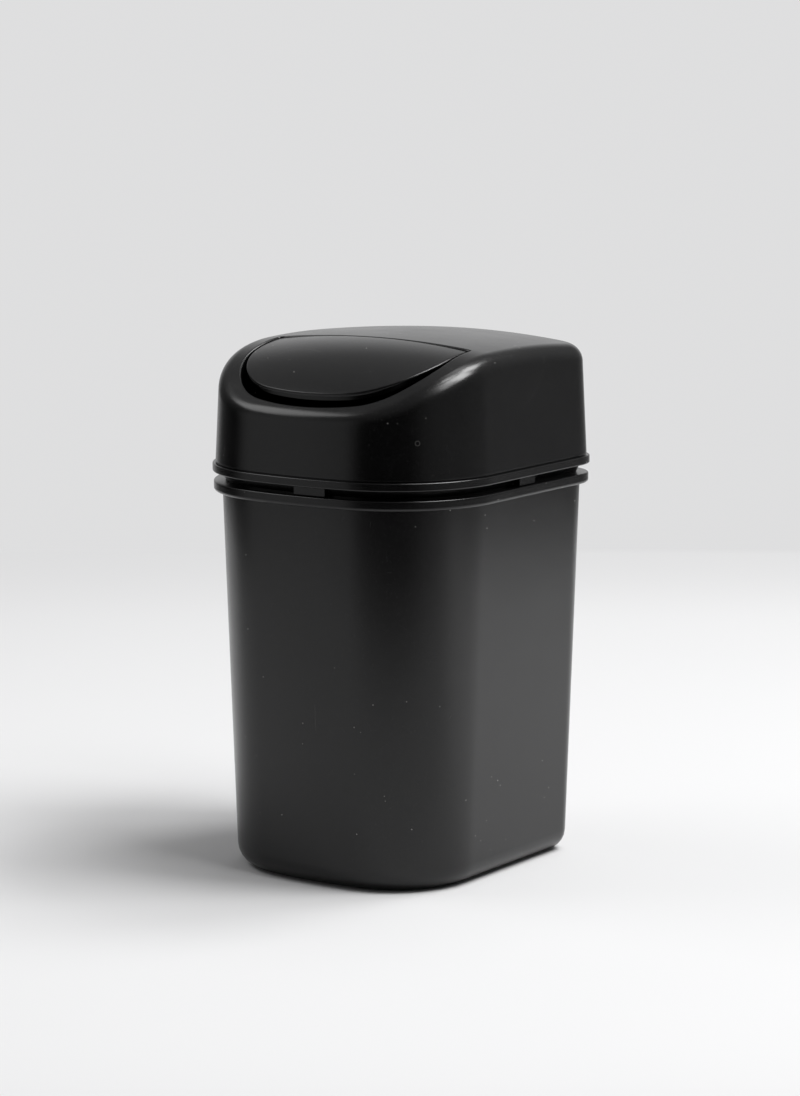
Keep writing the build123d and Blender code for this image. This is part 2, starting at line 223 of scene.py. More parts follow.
class BinHinge(bpy.types.PropertyGroup):
    """Ears, knuckles, pins and return springs."""

    play: length("Play", 0.5, "Side play between ear, knuckle and spring")
    ear_thickness: length("Ear thickness", 3, "Thickness of the ears")
    ear_radius: length("Ear radius", 2.6, "Radius of the ears round the pin")
    knuckle_radius: length("Knuckle radius", 2.4, "Radius of the knuckles")
    knuckle_length: length("Knuckle length", 7.4, "Length of the knuckles")
    pin_chamfer: length("Pin chamfer", 0.25, "Chamfer at the pins' ends")
    wire: length("Wire diameter", 0.6, "Diameter of the springs' wire")
    coil: length("Coil radius", 1.5, "Radius of the springs' coils, to the wire's centre")
    pitch: length("Coil pitch", 1.1, "Distance between turns")
    turns: IntProperty(name="Turns", description="Turns in each coil", default=4, min=1)
    flap_leg: length("Flap leg", 8, "Length of the leg under the flap")
    deck_leg: length("Deck leg", 9, "Length of the leg under the deck")
    flap_slope: angle("Flap leg slope", 4, "Rise of the leg under the flap")
    deck_slope: angle("Deck leg slope", 9.5, "Rise of the leg under the deck")


class BinFinish(bpy.types.PropertyGroup):
    """Colours and surface of the plastic and the steel."""

    plastic: colour("Plastic", (0.0025, 0.0025, 0.0026), "Colour of the black plastic")
    fleck: colour("Fleck", (0.035, 0.035, 0.035), "Colour of the paler grains in the plastic")
    dust: colour("Dust", (0.5, 0.49, 0.47), "Colour of the specks of dust")
    steel: colour("Steel", (0.56, 0.56, 0.57), "Colour of pins and springs")
    roughness: share("Roughness", 0.235, "Roughness of the plastic")
    grain: length("Grain", 0.5, "Size of the moulded grain")
    grain_depth: length("Grain depth", 0.007, "Depth of the moulded grain")
    dust_spacing: length("Dust spacing", 3.8, "Mean distance between specks of dust")
    dust_size: length("Dust size", 0.24, "Largest radius of a speck of dust")
    gate_place: point(
        "Gate mark place", (0.04677, -0.04816, 0.17484), "Where the small ring left by the mould's gate is"
    )
    gate_radius: length("Gate mark radius", 0.9, "Radius of the gate mark")
    gate_line: length("Gate mark line", 0.26, "Width of the gate mark's line")


class BinStudio(bpy.types.PropertyGroup):
    """Camera, table and background."""

    camera_place: point("Camera place", (0.815201, -1.173616, 0.357902), "Where the camera stands")
    camera_turn: angle("Camera turn", 34.6, "Turn of the camera to the left of straight ahead")
    camera_pitch: angle("Camera pitch", 9.275, "How far the camera looks down")
    camera_roll: angle("Camera roll", -0.043, "Roll of the camera")
    lens: share("Lens", 121.03, "Focal length in millimetres on a frame 36 mm high")
    floor: colour("Floor", (0.83, 0.83, 0.835), "Colour of the floor")
    wall: colour("Wall", (0.735, 0.735, 0.74), "Colour of the background")
    table_place: point("Table place", (-0.0747, 0.1082, 0), "Middle of the table")
    table_half: FloatVectorProperty(
        name="Table half size",
        description="Half the table's width and depth",
        default=(0.65, 0.6315),
        size=2,
        unit="LENGTH",
    )


SETTINGS = {
    "bin_outline": BinOutline,
    "bin_bucket": BinBucket,
    "bin_ring": BinRing,
    "bin_top": BinTop,
    "bin_hood": BinHood,
    "bin_flap": BinFlap,
    "bin_hinge": BinHinge,
    "bin_finish": BinFinish,
    "bin_studio": BinStudio,
}


# Curves and surfaces


def circle(turn):
    """Points on the unit circle at the given turns."""
    return np.stack([np.cos(turn), np.sin(turn)], 1)


def d_outline(half, front, rear, bow, corner, back, step):
    """Points and outward directions of a D seen from above, anticlockwise from the front's left end.

    The bowed front, two large front corners, flat sides, two rear corners and the flat rear are tangent
    arcs and lines. Points are no more than step apart, and on an arc no more than WIDEST_TURN apart.
    """
    bow_y = front + bow
    corner_x = half - corner
    corner_y = bow_y - math.sqrt((bow - corner) ** 2 - corner_x**2)
    bow_half = math.atan2(corner_x, bow_y - corner_y)
    back_x = half - back
    back_y = rear - back
    quarter = math.pi / 2
    pieces = [
        ((0, bow_y), bow, -quarter - bow_half, -quarter + bow_half),
        ((corner_x, corner_y), corner, -quarter + bow_half, 0),
        ((half, corner_y), (half, back_y)),
        ((back_x, back_y), back, 0, quarter),
        ((back_x, rear), (-back_x, rear)),
        ((-back_x, back_y), back, quarter, 2 * quarter),
        ((-half, back_y), (-half, corner_y)),
        ((-corner_x, corner_y), corner, 2 * quarter, 3 * quarter - bow_half),
    ]
    points = []
    normals = []
    for piece in pieces:
        if len(piece) == 4:
            centre, radius, start, end = piece
            count = max(2, math.ceil(radius * (end - start) / step), math.ceil((end - start) / WIDEST_TURN))
            normal = circle(start + (end - start) * np.arange(count) / count)
            points.append(np.array(centre) + radius * normal)
        else:
            start, end = (np.array(p, float) for p in piece)
            run = end - start
            count = max(2, math.ceil(np.linalg.norm(run) / step))
            points.append(start + run * (np.arange(count) / count)[:, None])
            normal = np.tile([run[1], -run[0]] / np.linalg.norm(run), (count, 1))
        normals.append(normal)
    return np.concatenate(points), np.concatenate(normals)


def rounded(corners, closed=False, count=6, longest=8 * MM, support=0.4 * MM):
    """A chain through (x, y, radius) corners, each corner an arc tangent to both of its sides.

    Straight stretches get extra points near both of their ends and along them, so that smooth shading
    doesn't smear the arcs' light over the flats.
    """
    corners = [np.array(c, float) for c in corners]
    total = len(corners)
    chain = []
    for i, corner in enumerate(corners):
        place, radius = corner[:2], corner[2]
        if radius <= 0 or (not closed and i in (0, total - 1)):
            chain.append([place])
            continue
        back = corners[i - 1][:2] - place
        ahead = corners[(i + 1) % total][:2] - place
        back = back / np.linalg.norm(back)
        ahead = ahead / np.linalg.norm(ahead)
        half = math.acos(np.clip(back @ ahead, -1, 1)) / 2
        middle = (back + ahead) / np.linalg.norm(back + ahead)
        centre = place + middle * radius / math.sin(half)
        first = place + back * radius / math.tan(half) - centre
        last = place + ahead * radius / math.tan(half) - centre
        span = math.acos(np.clip(first @ last / radius**2, -1, 1))
        t = np.linspace(0, 1, count + 1)[:, None]
        swept = np.sin((1 - t) * span) * first + np.sin(t * span) * last
        chain.append(list(centre + swept / math.sin(span)))
    points = []
    for i, stretch in enumerate(chain):
        points += stretch
        if not closed and i == total - 1:
            break
        start = stretch[-1]
        end = chain[(i + 1) % total][0]
        run = np.linalg.norm(end - start)
        if run > 4 * support:
            inner = np.linspace(support, run - support, max(2, math.ceil(run / longest) + 1))
            points += list(start + (end - start) * (inner / run)[:, None])
    return np.array(points)


def carried(points, normals, profile):
    """The grid that a profile of (reach, height) pairs sweeps round an outline, one column a point."""
    profile = np.broadcast_to(profile, (len(points),) + profile.shape[-2:])
    flat = points[:, None] + normals[:, None] * profile[:, :, :1]
    return np.concatenate([flat, profile[:, :, 1:]], 2)


def pole(grid, at, rows=8, first=False):
    """The grid with rows added that draw its last (or first) row in to one point."""
    edge = grid[:, :1] if first else grid[:, -1:]
    t = np.linspace(0, 1, rows + 1)[1:, None]
    drawn = edge * (1 - t) + np.array(at) * t
    return np.concatenate([drawn[:, ::-1], grid], 1) if first else np.concatenate([grid, drawn], 1)


def capped(grid):
    """The grid with its first and last columns each closed over their middle point."""
    first = np.broadcast_to(grid[:1].mean(1, keepdims=True), grid[:1].shape)
    last = np.broadcast_to(grid[-1:].mean(1, keepdims=True), grid[-1:].shape)
    return np.concatenate([first, grid, last], 0)


def turned(start, end, count):
    """Unit vectors that turn evenly from start to end, in count steps."""
    span = np.arccos(np.clip((start * end).sum(-1, keepdims=True), -1, 1))[:, None]
    t = np.linspace(0, 1, count + 1)[None, :, None]
    return (np.sin((1 - t) * span) * start[:, None] + np.sin(t * span) * end[:, None]) / np.sin(span)


def between(start, end, rows):
    """Rows between two rows of points, without either of them."""
    t = np.linspace(0, 1, rows + 2)[1:-1, None]
    return start[:, None] * (1 - t) + end[:, None] * t


class Crown:
    """The crowned top over the bin at any depth under it.

    Seen from the side it is a shallow deck arc, a tighter arch that falls to the front and a straight lip
    tangent to the arch. That profile is swung about a level line far below, which crowns it sideways. A
    depth takes the same length off every radius.
    """

    def __init__(self, top, arch_radius, crown_radius):
        crest = HOOD_HIGH.z
        self.deck_radius = top.deck_radius
        self.arch_radius = arch_radius
        self.slope = top.lip_slope
        self.axis_z = crest - crown_radius
        self.deck_turn = math.asin((top.crest_y - top.arch_start_y) / top.deck_radius)
        self.deck_centre = np.array([top.crest_y, crest - top.deck_radius])
        to_arch = np.array([-math.sin(self.deck_turn), math.cos(self.deck_turn)])
        self.arch_centre = self.deck_centre + (top.deck_radius - arch_radius) * to_arch

    def side(self, y, depth):
        """Height and normal (y, z) of the side profile."""
        deck = self.deck_radius - depth
        arch = self.arch_radius - depth
        start_y = self.deck_centre[0] - deck * math.sin(self.deck_turn)
        lip_y = self.arch_centre[0] - arch * math.sin(self.slope)
        lip_z = self.arch_centre[1] + arch * math.cos(self.slope)
        on_deck = y >= start_y
        centre = np.where(on_deck[..., None], self.deck_centre, self.arch_centre)
        radius = np.where(on_deck, deck, arch)
        across = y - centre[..., 0]
        rise = np.sqrt(np.maximum(radius**2 - across**2, 0))
        on_lip = y < lip_y
        z = np.where(on_lip, lip_z + (y - lip_y) * math.tan(self.slope), centre[..., 1] + rise)
        normal_y = np.where(on_lip, -math.sin(self.slope), across / radius)
        normal_z = np.where(on_lip, math.cos(self.slope), rise / radius)
        return z, normal_y, normal_z

    def at(self, plan, depth=0.0):
        """Points on the top over the plan's (x, y), and the top's normals there."""
        side_z, normal_y, normal_z = self.side(plan[..., 1], depth)
        swing = side_z - self.axis_z
        height = np.sqrt(swing**2 - plan[..., 0] ** 2)
        points = np.concatenate([plan, (self.axis_z + height)[..., None]], -1)
        normals = np.stack([normal_z * plan[..., 0] / swing, normal_y, normal_z * height / swing], -1)
        return points, normals


def bearing(points, centre):
    """Bearing of each point from a centre, in radians from 0 to a full turn."""
    return np.mod(np.arctan2(points[:, 1] - centre[1], points[:, 0] - centre[0]), FULL_TURN)


def along(outline, centre, bearings):
    """The outline's points and directions at the given bearings, read from a much finer copy of it."""
    points, normals = outline
    own = bearing(points, centre)
    stack = np.concatenate([points, normals], 1)
    read = np.stack([np.interp(bearings, own, stack[:, i], period=FULL_TURN) for i in range(4)], 1)
    read[:, 2:] /= np.linalg.norm(read[:, 2:], axis=1, keepdims=True)
    return read[:, :2], read[:, 2:]


# Meshes


def linked(name, data):
    """A new object in the scene."""
    made = bpy.data.objects.new(name, data)
    bpy.context.scene.collection.objects.link(made)
    return made


def quads(columns, rows, wrap_columns, wrap_rows):
    """Corner numbers of the faces of a grid that may close on itself either way."""
    index = np.arange(columns * rows).reshape(columns, rows)
    if wrap_columns:
        index = np.concatenate([index, index[:1]], 0)
    if wrap_rows:
        index = np.concatenate([index, index[:, :1]], 1)
    return np.stack([index[:-1, :-1], index[1:, :-1], index[1:, 1:], index[:-1, 1:]], -1).reshape(-1, 4)


def mesh_piece(name, shells, body, slot, material, *nodes):
    """One object from closed shells: grids of (columns, rows, 3) points, and whether columns and rows wrap.

    Points that coincide are merged, which closes seams and poles, and the faces are then turned outwards.
    """
    vertices = []
    faces = []
    base = 0
    for grid, wrap_columns, wrap_rows in shells:
        columns, rows = grid.shape[:2]
        faces.append(base + quads(columns, rows, wrap_columns, wrap_rows))
        vertices.append(grid.reshape(-1, 3))
        base += columns * rows
    mesh = bpy.data.meshes.new(name)
    mesh.from_pydata(np.concatenate(vertices), [], np.concatenate(faces))
    work = bmesh.new()
    work.from_mesh(mesh)
    bmesh.ops.remove_doubles(work, verts=work.verts, dist=MERGED)
    bmesh.ops.recalc_face_normals(work, faces=work.faces)
    work.to_mesh(mesh)
    work.free()
    mesh.shade_smooth()
    mesh.set_sharp_from_angle(angle=SHARP_TURN)
    mesh.materials.append(material)
    piece = linked(name, mesh)
    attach(piece, body)
    if nodes:
        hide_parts(*nodes)


def shell_outline(outline, step=None):
    """The outline at the underside of the bucket's rim, taken in from the bucket's own width and depth."""
    half = BUCKET_TOP.x - outline.rim_reach
    depth = BUCKET_TOP.y - outline.rim_reach
    corners = (outline.front_bow, outline.front_corner, outline.rear_corner)
    return d_outline(half, -depth, depth, *corners, step or outline.step)


def bucket_line(scene, z):
    """How far the bucket's wall stands out from the outline at height z."""
    return (z - BUCKET_TOP.z + scene.bin_bucket.rim_height) * math.tan(scene.bin_bucket.draft)


def hood_line(scene, z):
    """How far the hood's wall stands out from the outline at height z."""
    return scene.bin_hood.reach - (z - HOOD_LOW.z) * math.tan(scene.bin_hood.draft)


def make_bucket(scene):
    """The tub: a profile from the middle of the foot up the outside, over the rim and down to the floor."""
    outline, tub = scene.bin_outline, scene.bin_bucket
    top = BUCKET_TOP.z
    under = top - tub.rim_height
    hollow = top - tub.rim_top
    lip = outline.rim_reach - tub.rim_lip
    small = 0.25 * MM
    foot = bucket_line(scene, 0)
    recess = foot - tub.foot_width
    recess_flat = 4 * MM
    inside = bucket_line(scene, tub.floor) - tub.wall
    floor_flat = 12 * MM
    profile = rounded(
        [
            (recess - recess_flat, tub.foot_recess, 0),
            (recess, tub.foot_recess, small),
            (recess, 0, small),
            (foot, 0, tub.edge),
            (bucket_line(scene, hollow), hollow, small),
            (lip, hollow, small),
            (lip, under, small),
            (outline.rim_reach, under, tub.rim_lower),
            (outline.rim_reach, top, tub.rim_upper),
            (bucket_line(scene, top) - tub.wall, top, small),
            (inside, tub.floor, tub.edge - tub.wall),
            (inside - floor_flat, tub.floor, 0),
        ]
    )
    grid = carried(*shell_outline(outline), profile)
    grid = pole(grid, (0, 0, tub.floor))
    grid = pole(grid, (0, 0, tub.foot_recess), first=True)
    material = plastic(scene, "bucket")
    mesh_piece("bucket_shell", [(grid, True, False)], "bucket", "bucket_plastic", material, "bucket")


def on_sides(points, normals, x, width_x, y, width_y):
    """1 where an outline's point lies in the marked place on one of its four sides, and 0 elsewhere."""
    ahead = (np.abs(normals[:, 1]) > FACING) & (np.abs(points[:, 0] - x) < width_x / 2)
    aside = (np.abs(normals[:, 0]) > FACING_SIDE) & (np.abs(points[:, 1] - y) < width_y / 2)
    return (ahead | aside).astype(float)[:, None, None]


def stepped(outline, places):
    """The outline with two extra points a hair apart at each edge of the marked places on its sides."""
    points, normals = outline
    hair = 0.02 * MM
    for coordinate, value in places:
        ahead = np.roll(points, -1, 0)
        ahead_normals = np.roll(normals, -1, 0)
        crossing = (points[:, coordinate] - value) * (ahead[:, coordinate] - value) < 0
        facing = np.abs(normals[:, 1 - coordinate]) > FACING
        for i in sorted(np.flatnonzero(crossing & facing), reverse=True):
            run = ahead[i] - points[i]
            t = (value - points[i, coordinate]) / run[coordinate]
            spread = hair / np.linalg.norm(run)
            stops = np.array([t - spread, t + spread])[:, None]
            mixed = normals[i] * (1 - stops) + ahead_normals[i] * stops
            points = np.insert(points, i + 1, points[i] + run * stops, 0)
            normals = np.insert(normals, i + 1, mixed, 0)
    return points, normals


def make_bag_ring(scene):
    """The ring: a closed profile carried round, which swells where the lugs and the grip bumps are."""
    outline, ring, tub, hood = scene.bin_outline, scene.bin_ring, scene.bin_bucket, scene.bin_hood
    rim = BUCKET_TOP.z
    band_low = rim + ring.gap
    band_high = HOOD_LOW.z
    band = RING_HIGH.x - BUCKET_TOP.x + outline.rim_reach
    web = band_low + ring.wall
    small = 0.2 * MM
    bump_low = (band_high + RING_HIGH.z - ring.bump_height) / 2
    bump_high = bump_low + ring.bump_height

    def skirt(z):
        """Reach of the skirt's outside, which fits the bucket's wall, at height z."""
        return bucket_line(scene, z) - tub.wall - ring.clearance

    def collar(z):
        """Reach of the collar's outside, which fits the hood's wall, at height z."""
        return hood_line(scene, z) - hood.wall - ring.clearance

    def profile(neck, foot, neck_low, bump):
        """The ring's section, given the neck's reach above and below, its low end and the bump's reach."""
        return rounded(
            [
                (skirt(RING_LOW.z), RING_LOW.z, small),
                (skirt(neck_low), neck_low, 0),
                (foot, neck_low, ring.neck_edge),
                (neck, band_low, 0),
                (band, band_low, ring.band_edge),
                (band, band_high, ring.band_edge),
                (collar(band_high), band_high, 0),
                (collar(bump_low), bump_low, 0),
                (collar(bump_low) + bump, bump_low + bump, 0),
                (collar(bump_high) + bump, bump_high - bump, 0),
                (collar(bump_high), bump_high, 0),
                (collar(RING_HIGH.z), RING_HIGH.z, small),
                (collar(RING_HIGH.z) - ring.wall, RING_HIGH.z, small),
                (collar(web) - ring.wall, web, small),
                (skirt(web) - ring.wall, web, small),
                (skirt(RING_LOW.z) - ring.wall, RING_LOW.z, small),
            ],
            closed=True,
            longest=100 * MM,
            support=0.08 * MM,
        )

    half_x, half_y, half_bump = ring.front_lug_width / 2, ring.side_lug_width / 2, ring.bump_width / 2
    marks = [(0, ring.front_lug_x + half_x), (0, ring.front_lug_x - half_x), (0, half_bump), (0, -half_bump)]
    marks += [(1, ring.side_lug_y + h) for h in (half_y, -half_y, half_bump, -half_bump)]
    points, normals = stepped(shell_outline(outline), marks)
    lugs = on_sides(
        points, normals, ring.front_lug_x, ring.front_lug_width, ring.side_lug_y, ring.side_lug_width
    )
    bumps = on_sides(points, normals, 0, ring.bump_width, ring.side_lug_y, ring.bump_width)
    flush = 0.02 * MM
    hem = rim + ring.hem
    foot = skirt(hem) + ring.neck_foot
    plain = profile(ring.neck, foot, hem, flush)
    with_lug = profile(ring.lug, ring.lug, rim, flush) - plain
    with_bump = profile(ring.neck, foot, hem, ring.bump_proud) - plain
    grid = carried(points, normals, plain + with_lug * lugs + with_bump * bumps)
    material = plastic(scene, "ring")
    mesh_piece("bag_ring_shell", [(grid, True, True)], "bag_ring", "ring_plastic", material, "bag_ring")


def mouth_outline(scene, shrink, corner, back, rear, step):
    """The mouth's D, taken in by a shrink, with its corners, its rear's place and its step as given."""
    hood, outline = scene.bin_hood, scene.bin_outline
    half = BUCKET_TOP.x - outline.rim_reach - hood.side_margin - shrink
    front = -(BUCKET_TOP.y - outline.rim_reach) + hood.front_margin + shrink
    return d_outline(half, front, rear, hood.bow - shrink, corner, back, step)


def shoulder(scene, crown, outline, inset, radius, count):
    """The rolling shoulder between wall and top: a ball's path, and the arc between its two contacts.

    The ball's height is found by setting it against the wall and the top in turn, SETTLING times.
    """
    points, normals = outline
    lean = math.tan(scene.bin_hood.draft)
    up = math.hypot(1, lean)
    z = np.full(len(points), HOOD_HIGH.z - radius)
    for _ in range(SETTLING):
        plan = points + normals * (hood_line(scene, z) - inset - radius * up)[:, None]
        centre, top_normals = crown.at(plan, inset + radius)
        z = centre[:, 2]
    wall_normals = np.concatenate([normals, np.full((len(points), 1), lean)], 1) / up
    return centre[:, None] + radius * turned(wall_normals, top_normals, count)


def wall_rows(scene, outline, inset, low, highs, rows):
    """Rows of a hood wall from a height up to a height of its own for each column."""
    t = np.linspace(0, 1, rows)
    z = low + (highs[:, None] - low) * t
    flat = outline[0][:, None] + outline[1][:, None] * (hood_line(scene, z) - inset)[..., None]
    return np.concatenate([flat, z[..., None]], 2)


def dome_rows(crown, depth, start, end, rows):
    """Rows on the top between two loops of points."""
    return crown.at(between(start[:, :2], end[:, :2], rows), depth)[0]


def make_hood(scene):
    """The hood: one closed grid up the outside, over the shoulder, through the mouth and back down inside."""
    hood, top = scene.bin_hood, scene.bin_top
    crown = Crown(top, top.hood_arch, top.hood_crown)
    mouth_shape = (scene, 0, hood.corner, hood.rear_corner, hood.rear_y)
    coarse = 1.2 * MM
    least_turn = 0.002
    coarse_wall = shell_outline(scene.bin_outline)[0]
    coarse_mouth = mouth_outline(*mouth_shape, coarse)[0]
    bearings = np.sort(np.concatenate([bearing(coarse_wall, HUB), bearing(coarse_mouth, HUB)]))
    bearings = bearings[np.concatenate([[True], np.diff(bearings) > least_turn])]
    outline = along(shell_outline(scene.bin_outline, FINE), HUB, bearings)
    mouth, inward = along(mouth_outline(*mouth_shape, FINE), HUB, bearings)

    foot = HOOD_LOW.z
    seam_top = foot + hood.seam_height
    seam_line = hood_line(scene, foot) - hood.seam_depth
    seam_root = 0.1 * MM
    seam_edge = 0.15 * MM
    seam_land = 1 * MM
    wall_start = seam_top + seam_land
    seam = rounded(
        [
            (seam_line, foot, 0),
            (seam_line, seam_top, seam_root),
            (hood_line(scene, seam_top), seam_top, seam_edge),
            (hood_line(scene, wall_start), wall_start, 0),
        ],
        count=4,
    )
    outer_arc = shoulder(scene, crown, outline, 0, hood.shoulder, count=16)
    outer_wall = wall_rows(scene, outline, 0, wall_start, outer_arc[:, 0, 2], rows=10)[:, 1:-1]
    edge = hood.mouth_edge
    ball, ball_normals = crown.at(mouth + inward * edge, edge)
    wall_normals = -np.concatenate([inward, np.zeros((len(bearings), 1))], 1)
    mouth_arc = ball[:, None] + edge * turned(ball_normals, wall_normals, count=6)
    outer_dome = dome_rows(crown, 0, outer_arc[:, -1], mouth_arc[:, 0], rows=44)

    rim_fade = 0.5 * MM
    thinnest = 0.02
    kept = np.clip((hood.rear_y - hood.rim_stop - mouth[:, 1]) / rim_fade, 0, 1)
    beyond = mouth + inward * (hood.rim_thickness * np.maximum(kept, thinnest))[:, None]
    rim_low_depth = hood.wall + hood.rim_depth * kept
    lip_low = crown.at(mouth, rim_low_depth)[0]
    rim_low = crown.at(beyond, rim_low_depth)[0]
    rim_root = crown.at(beyond, hood.wall)[0]

    inner_arc = shoulder(scene, crown, outline, hood.wall, hood.shoulder - hood.wall, count=10)
    inner_dome = dome_rows(crown, hood.wall, rim_root, inner_arc[:, -1], rows=30)
    inner_wall = wall_rows(scene, outline, hood.wall, foot, inner_arc[:, 0, 2], rows=8)[:, -2::-1]
    grid = np.concatenate(
        [
            carried(*outline, seam),
            outer_wall,
            outer_arc,
            outer_dome,
            mouth_arc,
            between(mouth_arc[:, -1], lip_low, rows=2),
            np.stack([lip_low, rim_low, rim_root], 1),
            inner_dome,
            inner_arc[:, ::-1],
            inner_wall,
        ],
        1,
    )
    material = plastic(scene, "hood")
    mesh_piece("hood_shell", [(grid, True, True)], "hood", "hood_plastic", material, "hood")
    make_ears(scene, crown, material)


def round_axis(radius, start, end, count):
    """Arc of (y, z) points round the hinge's axis, between two turns in degrees from the rear."""
    return [AXIS_Y, AXIS_Z] + radius * circle(np.radians(np.linspace(start, end, count)))


def plate(profiles, xs):
    """Grid of closed (y, z) profiles that stand one after another along x, capped at both ends."""
    rings = [np.column_stack([np.full(len(profile), x), profile]) for profile, x in zip(profiles, xs)]
    return capped(np.stack(rings))


def over(crown, x, y, depth):
    """Points on a crown at a depth, over the places that x and y give."""
    return crown.at(np.stack(np.broadcast_arrays(x, y), -1), depth)[0]


def hinge_places(scene):
    """Where ears, knuckle and coil start along the hinge's right half."""
    hinge = scene.bin_hinge
    inner_ear = PIN_LOW.x
    knuckle = inner_ear + hinge.ear_thickness + hinge.play
    coil = knuckle + hinge.knuckle_length + hinge.play + hinge.wire / 2
    outer_ear = PIN_HIGH.x - hinge.ear_thickness
    return inner_ear, knuckle, coil, outer_ear


def both_sides(grid):
    """A shell and its mirror image."""
    return [(grid, False, True), ((grid * [-1, 1, 1])[:, ::-1], False, True)]


def softened(x_low, x_high, bevel=0.2 * MM):
    """Places along x, with a pair close to each end, for a plate with eased edges."""
    return [x_low, x_low + bevel, x_high - bevel, x_high]


def make_ears(scene, crown, material):
    """Four ears that hang from the deck round the pins."""
    hinge = scene.bin_hinge
    inner_ear, _, _, outer_ear = hinge_places(scene)
    sunk = 0.6
    eased = 0.94
    arc = round_axis(hinge.ear_radius, -180, 0, count=20)
    shells = []
    for x in (inner_ear, outer_ear):
        root = over(crown, x + hinge.ear_thickness / 2, AXIS_Y, scene.bin_hood.wall * sunk)[2]
        profile = np.concatenate([[[arc[0, 0], root]], arc, [[arc[-1, 0], root]]])
        centre = profile.mean(0)
        profiles = [centre + (profile - centre) * scale for scale in (eased, 1, 1, eased)]
        shells += both_sides(plate(profiles, softened(x, x + hinge.ear_thickness)))
    mesh_piece("hinge_ears", shells, "hood", "hood_plastic", material, "hood")


def flap_outline(scene, inset, bearings):
    """The flap's D, inset, at the given bearings."""
    hood, flap = scene.bin_hood, scene.bin_flap
    least_corner = 0.3 * MM
    back = max(hood.rear_corner - inset, least_corner)
    rear = hood.rear_y - flap.rear_gap - inset
    return along(mouth_outline(scene, flap.gap + inset, flap.corner - inset, back, rear, FINE), HUB, bearings)


def make_flap(scene):
    """The flap: a crowned plate with a rounded edge and a rim beneath, with ribs, flange and knuckles."""
    hood, flap, top = scene.bin_hood, scene.bin_flap, scene.bin_top
    crown = Crown(top, top.flap_arch, top.flap_crown)
    rear = hood.rear_y - flap.rear_gap
    coarse = 1.0 * MM
    coarse_flap = mouth_outline(scene, flap.gap, flap.corner, hood.rear_corner, rear, coarse)[0]
    bearings = np.sort(bearing(coarse_flap, HUB))
    plan, outward = flap_outline(scene, 0, bearings)
    ball, ball_normals = crown.at(plan - outward * flap.edge, flap.edge)
    wall_normals = np.concatenate([outward, np.zeros((len(plan), 1))], 1)
    arc = ball[:, None] + flap.edge * turned(ball_normals, wall_normals, count=8)
    hub = np.broadcast_to(np.array(HUB), plan.shape)

    low = flap.thickness
    rim_low = low + flap.rim_depth
    inner = flap.rim_inset + flap.rim_thickness
    edge_inset = 0.1 * MM
    undercut_run = 0.3 * MM
    places = [
        (edge_inset, flap.edge_thickness),
        (flap.undercut - undercut_run, flap.edge_thickness),
        (flap.undercut, low),
        (flap.rim_inset, low),
        (flap.rim_inset, rim_low),
        (inner, rim_low),
        (inner, low),
    ]
    rows = [crown.at(flap_outline(scene, inset, bearings)[0], depth)[0] for inset, depth in places]
    grid = np.concatenate(
        [
            crown.at(hub, 0)[0][:, None],
            dome_rows(crown, 0, hub, arc[:, 0], rows=40),
            arc,
            between(arc[:, -1], rows[0], rows=1),
            np.stack(rows, 1),
            dome_rows(crown, low, rows[-1], hub, rows=20),
            crown.at(hub, low)[0][:, None],
        ],
        1,
    )
    material = plastic(scene, "flap")
    mesh_piece("flap_skin", [(grid, True, False)], "flap", "flap_plastic", material, "flap")
    make_flap_frame(scene, crown, material)


